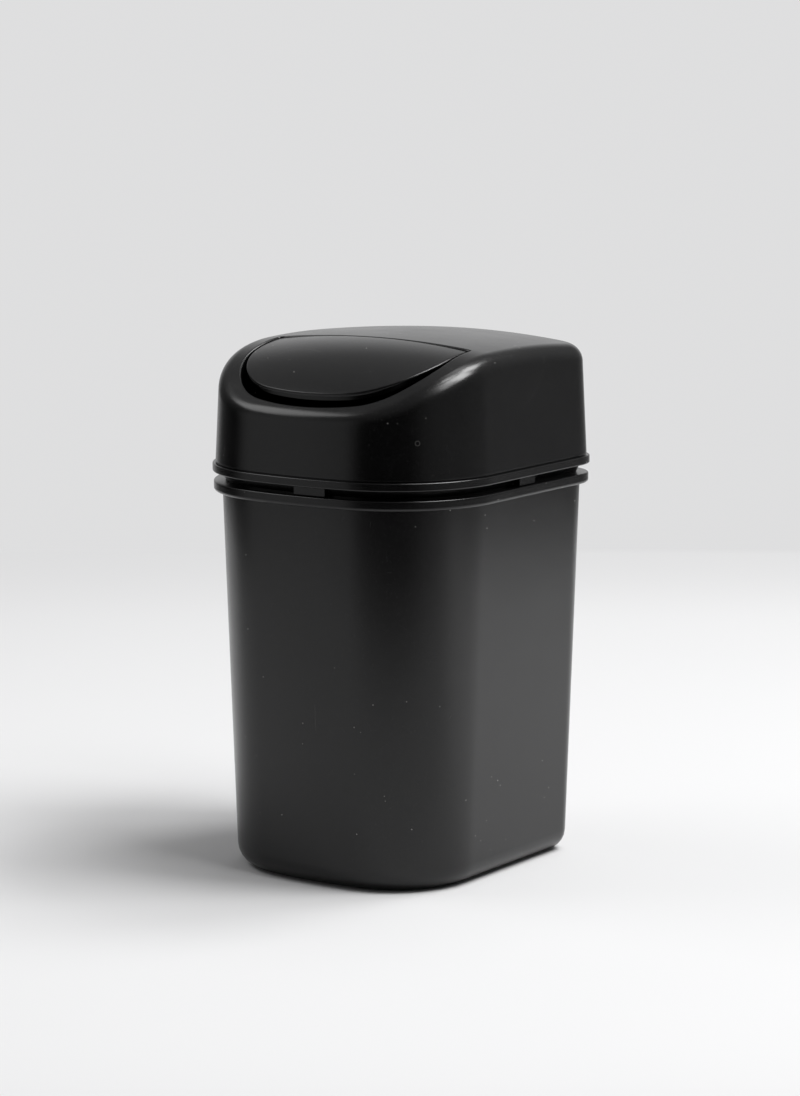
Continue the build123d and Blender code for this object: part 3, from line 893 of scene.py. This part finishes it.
def make_flap_frame(scene, crown, material):
    """Ribs, the stepped flange under the hood's deck and the knuckles."""
    hood, flap, hinge, top = scene.bin_hood, scene.bin_flap, scene.bin_hinge, scene.bin_top
    hood_crown = Crown(top, top.hood_arch, top.hood_crown)
    rear = hood.rear_y - flap.rear_gap
    joggle_y = rear - flap.joggle
    rib_gap = 0.6 * MM
    front = FLAP_LOW.y + flap.rim_inset + flap.rim_thickness / 2
    half = flap.rib_thickness / 2
    rib_sunk = 0.6
    rib_root = flap.thickness * rib_sunk
    rib_low = flap.thickness + flap.rib_depth
    corners = [(-half, rib_root), (half, rib_root), (half, rib_low), (-half, rib_low)]
    columns = 30
    shells = []
    for x in (-flap.rib_spacing, 0, flap.rib_spacing):
        ys = np.linspace(front + rib_gap + x**2 / hood.bow, joggle_y, columns)
        rings = [over(crown, x + aside, ys, depth) for aside, depth in corners]
        shells.append((capped(np.stack(rings, 1)), False, True))

    inner_ear, knuckle, _, _ = hinge_places(scene)
    notch = np.array([inner_ear - hinge.play, knuckle])
    hair = 0.01 * MM
    xs = np.sort(np.concatenate([np.linspace(0, flap.flange_half, columns), notch, notch - hair]))
    xs = np.concatenate([-xs[:0:-1], xs])
    notched = (np.abs(xs) > notch[0] - hair / 2) & (np.abs(xs) < notch[1] - hair / 2)
    flange_end = np.where(notched, AXIS_Y - hinge.ear_radius - hinge.play, AXIS_Y - flap.flange_setback)
    flange_gap = 0.3 * MM
    flange_top = hood.wall + flange_gap
    flange_low = flange_top + flap.flange_thickness
    joggle_sunk = 0.8
    joggle_depth = flap.thickness * joggle_sunk
    rings = [
        over(crown, xs, joggle_y, joggle_depth),
        over(crown, xs, rear, joggle_depth),
        over(hood_crown, xs, rear, flange_top),
        over(hood_crown, xs, flange_end, flange_top),
        over(hood_crown, xs, flange_end, flange_low),
        over(hood_crown, xs, joggle_y, flange_low),
    ]
    shells.append((capped(np.stack(rings, 1)), False, True))

    middle = knuckle + hinge.knuckle_length / 2
    root = over(hood_crown, middle, AXIS_Y, flange_top + flap.flange_thickness / 2)[2]
    web = [[AXIS_Y, root], [AXIS_Y - hinge.knuckle_radius, root]]
    profile = np.concatenate([round_axis(hinge.knuckle_radius, -180, 90, count=28), web])
    shells += both_sides(plate([profile] * 4, softened(knuckle, knuckle + hinge.knuckle_length)))
    mesh_piece("flap_frame", shells, "flap", "flap_plastic", material, "flap")


def make_pins(scene):
    """Two chamfered steel dowels."""
    chamfer = scene.bin_hinge.pin_chamfer
    radius = (PIN_HIGH.z - PIN_LOW.z) / 2
    ring = circle(np.radians(np.arange(0, 360, 10)))
    radii = (radius - chamfer, radius, radius, radius - chamfer)
    grid = plate([ring * r + [AXIS_Y, AXIS_Z] for r in radii], softened(PIN_LOW.x, PIN_HIGH.x, chamfer))
    material = steel(scene, "pin_steel", roughness=0.28)
    for side, sign in SIDES:
        shell = (grid * [sign, 1, 1], False, True)
        mesh_piece(f"dowel_{side}", [shell], "hood", "pin_steel", material, f"hinge_pin_{side}")


def tube(path, radius, sides=14):
    """Round tube along a path of points: rings square to the path, turned as little as possible."""
    tangent = np.gradient(path, axis=0)
    tangent /= np.linalg.norm(tangent, axis=1, keepdims=True)
    across = np.cross(tangent, [1.0, 0.0, 0.0])
    across /= np.linalg.norm(across, axis=1, keepdims=True)
    second = np.cross(tangent, across)
    turn = FULL_TURN * np.arange(sides) / sides
    ring = across[:, None] * np.cos(turn)[None, :, None] + second[:, None] * np.sin(turn)[None, :, None]
    return capped(path[:, None] + radius * ring)


def make_springs(scene):
    """Torsion springs, each in two pieces that meet in the coil: one rides on the hood, one on the flap.

    The flap's piece is a hair thinner, so that its surface hides in the coil where the two overlap.
    """
    hinge = scene.bin_hinge
    _, _, start_x, _ = hinge_places(scene)
    flap_turn = -hinge.flap_slope / FULL_TURN
    deck_turn = hinge.turns - hinge.deck_slope / FULL_TURN

    def helix(low, high, count):
        """Points of the coil's middle line between two numbers of turns."""
        t = np.linspace(low, high, count)
        turn = FULL_TURN * t
        y = AXIS_Y + hinge.coil * np.sin(turn)
        return np.stack([start_x + hinge.pitch * t, y, AXIS_Z + hinge.coil * np.cos(turn)], 1)

    def leg(start, direction, reach, count=12):
        """Points of a straight leg, without its start."""
        return start + direction * np.linspace(0, reach, count)[1:, None]

    def heading(t):
        """Direction of the coil's middle line after t turns."""
        turn = FULL_TURN * t
        run = np.array([hinge.pitch / FULL_TURN, hinge.coil * math.cos(turn), -hinge.coil * math.sin(turn)])
        return run / np.linalg.norm(run)

    overlap = 0.3
    coil_share = 0.5
    leg_share = 0.495
    coil = helix(0, deck_turn, count=32 * hinge.turns)
    fixed = np.concatenate([coil, leg(coil[-1], heading(deck_turn), hinge.deck_leg)])
    lead = helix(flap_turn, overlap, count=12)
    moving = np.concatenate([leg(lead[0], -heading(flap_turn), hinge.flap_leg)[::-1], lead])
    material = steel(scene, "spring_steel", roughness=0.35)
    for side, sign in SIDES:
        for name, path, body, share_of_wire in (
            ("coil", fixed, "hood", coil_share),
            ("leg", moving, "flap", leg_share),
        ):
            grid = tube(path, hinge.wire * share_of_wire) * [sign, 1, 1]
            nodes = [f"return_spring_{side}"] if name == "coil" else []
            mesh_piece(f"spring_{name}_{side}", [(grid, False, True)], body, "spring_steel", material, *nodes)


# Materials


class Socket:
    """A shader output that can stand in sums: each sum on it adds the Math node that works it out."""

    def __init__(self, shader, output):
        self.shader = shader
        self.output = output

    def sum(self, operation, *values):
        """What a Math node makes of the values."""
        return self.shader.add("ShaderNodeMath", {"operation": operation}, *values)

    def __add__(self, other):
        return self.sum("ADD", self, other)

    def __sub__(self, other):
        return self.sum("SUBTRACT", self, other)

    def __mul__(self, other):
        return self.sum("MULTIPLY", self, other)

    def __pow__(self, other):
        return self.sum("POWER", self, other)

    def __radd__(self, other):
        return self.sum("ADD", other, self)

    def __rsub__(self, other):
        return self.sum("SUBTRACT", other, self)

    def __rmul__(self, other):
        return self.sum("MULTIPLY", other, self)

    def __abs__(self):
        return self.sum("ABSOLUTE", self)

    def below(self, limit):
        """1 where it is less than the limit, and 0 elsewhere."""
        return self.sum("LESS_THAN", self, limit)

    def above(self, limit):
        """1 where it is more than the limit, and 0 elsewhere."""
        return self.sum("GREATER_THAN", self, limit)

    def ramp(self, start, end, top=1.0, kind="SMOOTHSTEP"):
        """0 as far as the start, then a rise to the top at the end, which may lie below the start."""
        limits = {"From_Min": start, "From_Max": end, "To_Max": top}
        return self.shader.add("ShaderNodeMapRange", {"interpolation_type": kind}, Value=self, **limits)

    def other(self, name):
        """Another output of the same node."""
        return Socket(self.shader, self.output.node.outputs[name])


class Shader:
    """The node tree of a material or a world, with one method that adds any node."""

    def __init__(self, owner, output="ShaderNodeOutputMaterial"):
        owner.use_nodes = True
        self.owner = owner
        self.tree = owner.node_tree
        self.tree.nodes.clear()
        self.out = self.tree.nodes.new(output)

    def add(self, kind, settings, *values, out=0, **named):
        """Adds a node, sets it up, fills or links its sockets and gives the chosen output."""
        node = self.tree.nodes.new(kind)
        for key, value in settings.items():
            setattr(node, key, value)
        pairs = list(zip(node.inputs, values))
        pairs += [(self.find(node, k.replace("_", " ")), v) for k, v in named.items()]
        for socket, value in pairs:
            if isinstance(value, Socket):
                self.tree.links.new(value.output, socket)
            elif socket.type == "RGBA" and len(value) == 3:
                socket.default_value = (*value, 1)
            else:
                socket.default_value = value
        return Socket(self, node.outputs[out])

    @staticmethod
    def find(node, name):
        """The node's live input of that name."""
        return next(s for s in node.inputs if s.name.lower() == name.lower() and s.enabled)

    def mix(self, factor, first, second):
        """A blend of two colours, which is the Mix node's third output."""
        return self.add("ShaderNodeMix", {"data_type": "RGBA"}, Factor=factor, A=first, B=second, out=2)

    def vector(self, operation, first, second, out="Value"):
        """What a Vector Math node makes of two vectors, as a number unless told otherwise."""
        return self.add("ShaderNodeVectorMath", {"operation": operation}, first, second, out=out)

    def noise(self, place, scale, detail, roughness=0.5):
        """Cloudy noise from 0 to 1."""
        look = {"Scale": scale, "Detail": detail, "Roughness": roughness}
        return self.add("ShaderNodeTexNoise", {}, Vector=place, **look)

    def surface(self, shader):
        """Makes a shader the surface, and gives the material or world back."""
        self.tree.links.new(shader.output, self.out.inputs["Surface"])
        return self.owner


def new_material(name):
    """A new material's empty node tree."""
    return Shader(bpy.data.materials.new(name))


# Sizes of the plastic's cloudy patterns, in waves a metre
MOTTLE_SCALE = 45.0
DRIFT_SCALE = 9.0
SCRATCH_SCALE = 16.0

# Half a scratch's width and the mottle under which there are none, both on a noise that runs from 0 to 1
SCRATCH_WIDTH = 0.0011
SCRATCH_FREE = 0.6

# The grain from which flecks start, and the grain at which they are full
FLECKED = (0.58, 0.85)

# How strongly scratches, the gate mark and dust show in the colour, and how much the mottle brightens it
SCRATCH_SHOWS = 0.05
GATE_SHOWS = 0.14
DUST_SHOWS = 0.8
MOTTLE_TONE = 1.5

# What mottle, drift and dust add to the roughness, and how high dust stands beside the grain
MOTTLE_GLOSS = 0.1
DRIFT_GLOSS = 0.06
DUST_GLOSS = 0.3
DUST_HEIGHT = 2.0
PLASTIC_IOR = 1.55


def plastic(scene, name):
    """Black moulded polypropylene: flecked grain, uneven gloss, hair scratches, a gate mark and dust."""
    finish = scene.bin_finish
    shader = new_material(f"black_polypropylene_{name}")
    place = shader.add("ShaderNodeTexCoord", {}, out="Object")
    grain = shader.noise(place, 1 / finish.grain, detail=2.0, roughness=0.6)
    mottle = shader.noise(place, MOTTLE_SCALE, detail=4.0, roughness=0.55)
    drift = shader.noise(place, DRIFT_SCALE, detail=2.0)
    wander = shader.noise(place, SCRATCH_SCALE, detail=0.0)
    cell = shader.add("ShaderNodeTexVoronoi", {}, Vector=place, Scale=1 / finish.dust_spacing, Randomness=1.0)
    size = shader.add("ShaderNodeSeparateColor", {}, cell.other("Color"))
    dust = cell.below(size * size * (finish.dust_size / finish.dust_spacing))
    scratch = abs(wander - 0.5).below(SCRATCH_WIDTH) * mottle.above(SCRATCH_FREE)
    off_gate = abs(shader.vector("DISTANCE", place, finish.gate_place) - finish.gate_radius)
    gate = off_gate.below(finish.gate_line / 2)
    fleck = grain.ramp(*FLECKED, kind="LINEAR")
    tone = shader.mix(mottle * 0.5, finish.plastic, [c * MOTTLE_TONE for c in finish.plastic])
    grained = shader.mix(fleck, tone, finish.fleck)
    marked = shader.mix(scratch * SCRATCH_SHOWS + gate * GATE_SHOWS, grained, finish.dust)
    base = shader.mix(dust * DUST_SHOWS, marked, finish.dust)
    gloss = (mottle - 0.5) * MOTTLE_GLOSS + (drift - 0.5) * DRIFT_GLOSS + finish.roughness
    height = grain + dust * DUST_HEIGHT
    bump = shader.add("ShaderNodeBump", {}, Strength=1.0, Distance=finish.grain_depth, Height=height)
    rough = gloss + dust * DUST_GLOSS
    face = shader.add(
        "ShaderNodeBsdfPrincipled", {}, Base_Color=base, Roughness=rough, Normal=bump, IOR=PLASTIC_IOR
    )
    return shader.surface(face)


def steel(scene, name, roughness):
    """Drawn steel with fine lines along it, which vary its tone and its roughness."""
    shader = new_material(name)
    place = shader.add("ShaderNodeTexCoord", {}, out="Object")
    stretched = shader.add("ShaderNodeMapping", {}, Vector=place, Scale=(1.0, 12.0, 12.0))
    lines = shader.noise(stretched, scale=600.0, detail=2.0)
    darkest = 0.8
    tint = shader.mix(lines, [c * darkest for c in scene.bin_finish.steel], scene.bin_finish.steel)
    span = 0.16
    rough = lines * span + (roughness - span / 2)
    bump = shader.add("ShaderNodeBump", {}, Strength=0.4, Distance=0.004 * MM, Height=lines)
    face = shader.add(
        "ShaderNodeBsdfPrincipled", {}, Base_Color=tint, Metallic=1.0, Roughness=rough, Normal=bump
    )
    return shader.surface(face)


# Studio


# Middle of the bin, which the lamps point at
LAMP_TARGET = Vector((0, 0, 0.12))

# Name, azimuth, elevation, distance, width, height and radiance of each lamp
LIGHTS = [
    ("key_light", 112, 58, 2.0, 0.66, 0.85, 11.5),
    ("top_light", 120, 79, 2.0, 0.4, 0.4, 9.0),
    ("right_light", 80, 58, 2.0, 0.45, 1.0, 5.0),
    ("rear_light", -170, 69, 1.8, 0.67, 0.57, 1.8),
    ("rear_low_light", 152, 60, 1.8, 0.45, 0.62, 10.2),
    ("left_light", -66, 46, 1.5, 0.75, 0.6, 2.3),
]

# Azimuth, elevation, spread and strength of the pale background behind the bin, as the bin's gloss shows it
BACKDROP = (-145.4, 0, 40, 0.78)

# Azimuth, elevation, spread and strength of each soft light in the background
FILLS = [
    (-150, 22, 80, 0.16),
    (-37, 3, 38, 0.48),
    (150, 5, 45, 0.22),
    (90, 5, 45, 0.2),
    (0, 90, 90, 0.22),
]

# Tone of the table's clouds, and of the painted shade along its front edge, as shares of the floor's colour
CLOUD_SHARE = 0.97
PAINTED_SHADE_SHARE = 0.4

# Where the painted shade is deepest and where it has gone, -1 being the table's front edge
PAINTED_SHADE_SPAN = (-1.0, -0.68)

# How much painted shade dims the table's front to all rays but the camera's, and where that starts and
# is full, measured along a slant
FRONT_PAINTED_SHADE = 0.3
FRONT = (-0.1, -0.4)
FRONT_SLANT = (0.6, 1, 0)

# Where the table starts and ends to pale, 1 being its edge: once slowly and once at the edge itself
HAZE = (0.6, 0.97)
EDGE = (0.96, 1.0)


def toward(azimuth, elevation, distance=1.0):
    """Point at an azimuth from the bin's front, positive to its right, and an elevation, in degrees."""
    azimuth, elevation = math.radians(azimuth), math.radians(elevation)
    level = math.cos(elevation)
    return Vector((math.sin(azimuth) * level, -math.cos(azimuth) * level, math.sin(elevation))) * distance


def softbox(name, azimuth, elevation, distance, width, height, radiance):
    """Rectangular lamp that shines at the bin with a given radiance and isn't seen itself."""
    lamp = bpy.data.lights.new(name, "AREA")
    lamp.shape = "RECTANGLE"
    lamp.size = width
    lamp.size_y = height
    lamp.energy = radiance * math.pi * width * height
    made = linked(name, lamp)
    place = LAMP_TARGET + toward(azimuth, elevation, distance)
    turn = (LAMP_TARGET - place).to_track_quat("-Z", "Y").to_matrix().to_4x4()
    made.matrix_world = Matrix.Translation(place) @ turn
    made.visible_camera = False


def seen_directly(shader):
    """1 for rays that come straight from the camera or through something clear, 0 for all others."""
    camera_ray = shader.add("ShaderNodeLightPath", {}, out="Is Camera Ray")
    return camera_ray + camera_ray.other("Is Transmission Ray")


def lobe(shader, direction, azimuth, elevation, spread, value):
    """Soft light round one direction: the value at its centre, falling to 0 at the spread."""
    facing = shader.vector("DOT_PRODUCT", direction, toward(azimuth, elevation))
    return facing.ramp(math.cos(math.radians(spread)), 1.0, top=value)


def make_floor(scene):
    """Table top that takes the bin's shadow and pales into the background towards its edge.

    Seen from above its edge is |x/a|^4 + |y/b|^4 = 1, turned to stand square to the camera, and the fourth
    root of that sum is how far out a point lies. Painted shade darkens it towards its front edge, and more
    painted shade dims its front to all rays but the camera's, so that the bin's lower walls show less of it.
    """
    studio = scene.bin_studio
    shader = new_material("studio_floor")
    place = shader.add("ShaderNodeTexCoord", {}, out="Object")
    turned_place = shader.add(
        "ShaderNodeMapping",
        {"vector_type": "TEXTURE"},
        Vector=place,
        Location=studio.table_place,
        Rotation=(0, 0, studio.camera_turn),
        Scale=(*studio.table_half, 1),
    )
    square = shader.vector("MULTIPLY", turned_place, turned_place, out="Vector")
    out = shader.vector("DOT_PRODUCT", square, square) ** 0.25
    cloud = shader.noise(place, scale=2.5, detail=2.0)
    tone = shader.mix(cloud, [c * CLOUD_SHARE for c in studio.floor], studio.floor)
    ahead = shader.add("ShaderNodeSeparateXYZ", {}, turned_place, out="Y")
    # Painted shade: the table's colour darkens towards its front edge, for all rays
    painted_shade_tone = shader.mix(ahead.ramp(*PAINTED_SHADE_SPAN), [c * PAINTED_SHADE_SHARE for c in studio.floor], tone)
    seen = seen_directly(shader)
    # Painted shade seen only in reflections and bounced light: the table's front is dimmer to all rays but
    # the camera's
    front = shader.vector("DOT_PRODUCT", turned_place, FRONT_SLANT).ramp(*FRONT)
    tone_with_reflected_shade = shader.mix(front * (1 - seen) * FRONT_PAINTED_SHADE, painted_shade_tone, (0, 0, 0))
    paper = shader.add("ShaderNodeBsdfDiffuse", {}, Color=tone_with_reflected_shade)
    glow = shader.add("ShaderNodeEmission", {}, Color=studio.wall, Strength=1.0)
    fade = out.ramp(*HAZE) * 0.5 + out.ramp(*EDGE) * 0.5
    shader.surface(shader.add("ShaderNodeMixShader", {}, fade * seen, paper, glow))

    ring = circle(np.radians(np.arange(0, 360, 2)))
    rows_out = np.array([0.0, 0.2, 0.6, 1.0])
    rim = ring / (ring**4).sum(1, keepdims=True) ** 0.25 * np.array(studio.table_half)
    rim = np.column_stack([rim, np.zeros(len(rim))]) @ np.array(Matrix.Rotation(studio.camera_turn, 3, "Z")).T
    grid = rim[:, None] * rows_out[None, :, None] + np.array(studio.table_place)
    mesh = bpy.data.meshes.new("studio_floor")
    mesh.from_pydata(grid.reshape(-1, 3), [], quads(*grid.shape[:2], True, False)[:, ::-1])
    mesh.materials.append(shader.owner)
    floor = linked("studio_floor", mesh)


def make_world(scene):
    """Background that the camera sees pale, and that lights the bin softly from where FILLS says.

    The bin's gloss shows the pale background too, as far as it stands behind the bin, and a dark room beyond.
    """
    world = bpy.data.worlds.new("studio_background")
    scene.world = world
    shader = Shader(world, "ShaderNodeOutputWorld")
    seen = seen_directly(shader)
    direction = shader.add("ShaderNodeTexCoord", {}, out="Generated")
    total = shader.add("ShaderNodeLightPath", {}, out="Is Glossy Ray") * lobe(shader, direction, *BACKDROP)
    for fill in FILLS:
        total = total + lobe(shader, direction, *fill)
    strength = seen + (1 - seen) * total
    shader.surface(shader.add("ShaderNodeBackground", {}, Color=scene.bin_studio.wall, Strength=strength))


def make_camera(scene):
    """Camera at the measured place, level apart from its pitch."""
    studio = scene.bin_studio
    camera = bpy.data.cameras.new("studio_camera")
    camera.sensor_fit = "VERTICAL"
    camera.sensor_height = 36
    camera.lens = studio.lens
    made = linked("studio_camera", camera)
    turn = Matrix.Rotation(studio.camera_turn, 4, "Z")
    pitch = Matrix.Rotation(math.pi / 2 - studio.camera_pitch, 4, "X")
    roll = Matrix.Rotation(studio.camera_roll, 4, "Z")
    made.matrix_world = Matrix.Translation(Vector(studio.camera_place)) @ turn @ pitch @ roll
    scene.camera = made


def make_studio(scene):
    """Floor, background, lights and camera."""
    make_camera(scene)
    make_floor(scene)
    make_world(scene)
    for name, *place in LIGHTS:
        softbox(name, *place)
    scene.view_settings.view_transform = "Standard"


# Operators


class BIN_OT_bucket(bpy.types.Operator):
    """Builds the tapered bucket with its rolled rim"""

    bl_idname = "bin.bucket"
    bl_label = "Bucket"
    bl_options = {"REGISTER", "UNDO"}

    def execute(self, context):
        make_bucket(context.scene)
        return {"FINISHED"}


class BIN_OT_bag_ring(bpy.types.Operator):
    """Builds the ring that holds a bag between bucket and hood"""

    bl_idname = "bin.bag_ring"
    bl_label = "Bag ring"
    bl_options = {"REGISTER", "UNDO"}

    def execute(self, context):
        make_bag_ring(context.scene)
        return {"FINISHED"}


class BIN_OT_hood(bpy.types.Operator):
    """Builds the crowned hood and its hinge ears"""

    bl_idname = "bin.hood"
    bl_label = "Hood"
    bl_options = {"REGISTER", "UNDO"}

    def execute(self, context):
        make_hood(context.scene)
        return {"FINISHED"}


class BIN_OT_flap(bpy.types.Operator):
    """Builds the flap with its rim, ribs, flange and knuckles"""

    bl_idname = "bin.flap"
    bl_label = "Flap"
    bl_options = {"REGISTER", "UNDO"}

    def execute(self, context):
        make_flap(context.scene)
        return {"FINISHED"}


class BIN_OT_hinge_pins(bpy.types.Operator):
    """Builds the two steel pins"""

    bl_idname = "bin.hinge_pins"
    bl_label = "Hinge pins"
    bl_options = {"REGISTER", "UNDO"}

    def execute(self, context):
        make_pins(context.scene)
        return {"FINISHED"}


class BIN_OT_return_springs(bpy.types.Operator):
    """Builds the two return springs"""

    bl_idname = "bin.return_springs"
    bl_label = "Return springs"
    bl_options = {"REGISTER", "UNDO"}

    def execute(self, context):
        make_springs(context.scene)
        return {"FINISHED"}


class BIN_OT_studio(bpy.types.Operator):
    """Builds the floor, the background, the lights and the camera"""

    bl_idname = "bin.studio"
    bl_label = "Studio"
    bl_options = {"REGISTER", "UNDO"}

    def execute(self, context):
        make_studio(context.scene)
        return {"FINISHED"}


OPERATORS = [
    BIN_OT_bucket,
    BIN_OT_bag_ring,
    BIN_OT_hood,
    BIN_OT_flap,
    BIN_OT_hinge_pins,
    BIN_OT_return_springs,
    BIN_OT_studio,
]


class BIN_PT_panel(bpy.types.Panel):
    """Lists the bin's pieces and their sizes."""

    bl_idname = "BIN_PT_panel"
    bl_label = "Push-flap bin"
    bl_space_type = "VIEW_3D"
    bl_region_type = "UI"
    bl_category = "Bin"

    def draw(self, context):
        for operator in OPERATORS:
            self.layout.operator(operator.bl_idname)
        for name, group in SETTINGS.items():
            box = self.layout.box()
            box.label(text=name.replace("bin_", "").capitalize())
            for key in group.__annotations__:
                box.prop(getattr(context.scene, name), key)


def register():
    """Registers the classes and puts the settings on the scene."""
    for group in SETTINGS.values():
        bpy.utils.register_class(group)
    for name, group in SETTINGS.items():
        setattr(bpy.types.Scene, name, PointerProperty(type=group))
    for operator in OPERATORS:
        bpy.utils.register_class(operator)
    bpy.utils.register_class(BIN_PT_panel)


def unregister():
    """Takes back what register did, in the other order."""
    bpy.utils.unregister_class(BIN_PT_panel)
    for operator in reversed(OPERATORS):
        bpy.utils.unregister_class(operator)
    for name in SETTINGS:
        delattr(bpy.types.Scene, name)
    for group in reversed(SETTINGS.values()):
        bpy.utils.unregister_class(group)


def main():
    """Builds every piece and the studio."""
    register()
    for operator in OPERATORS:
        group, name = operator.bl_idname.split(".")
        getattr(getattr(bpy.ops, group), name)()


if __name__ == "__main__":
    main()
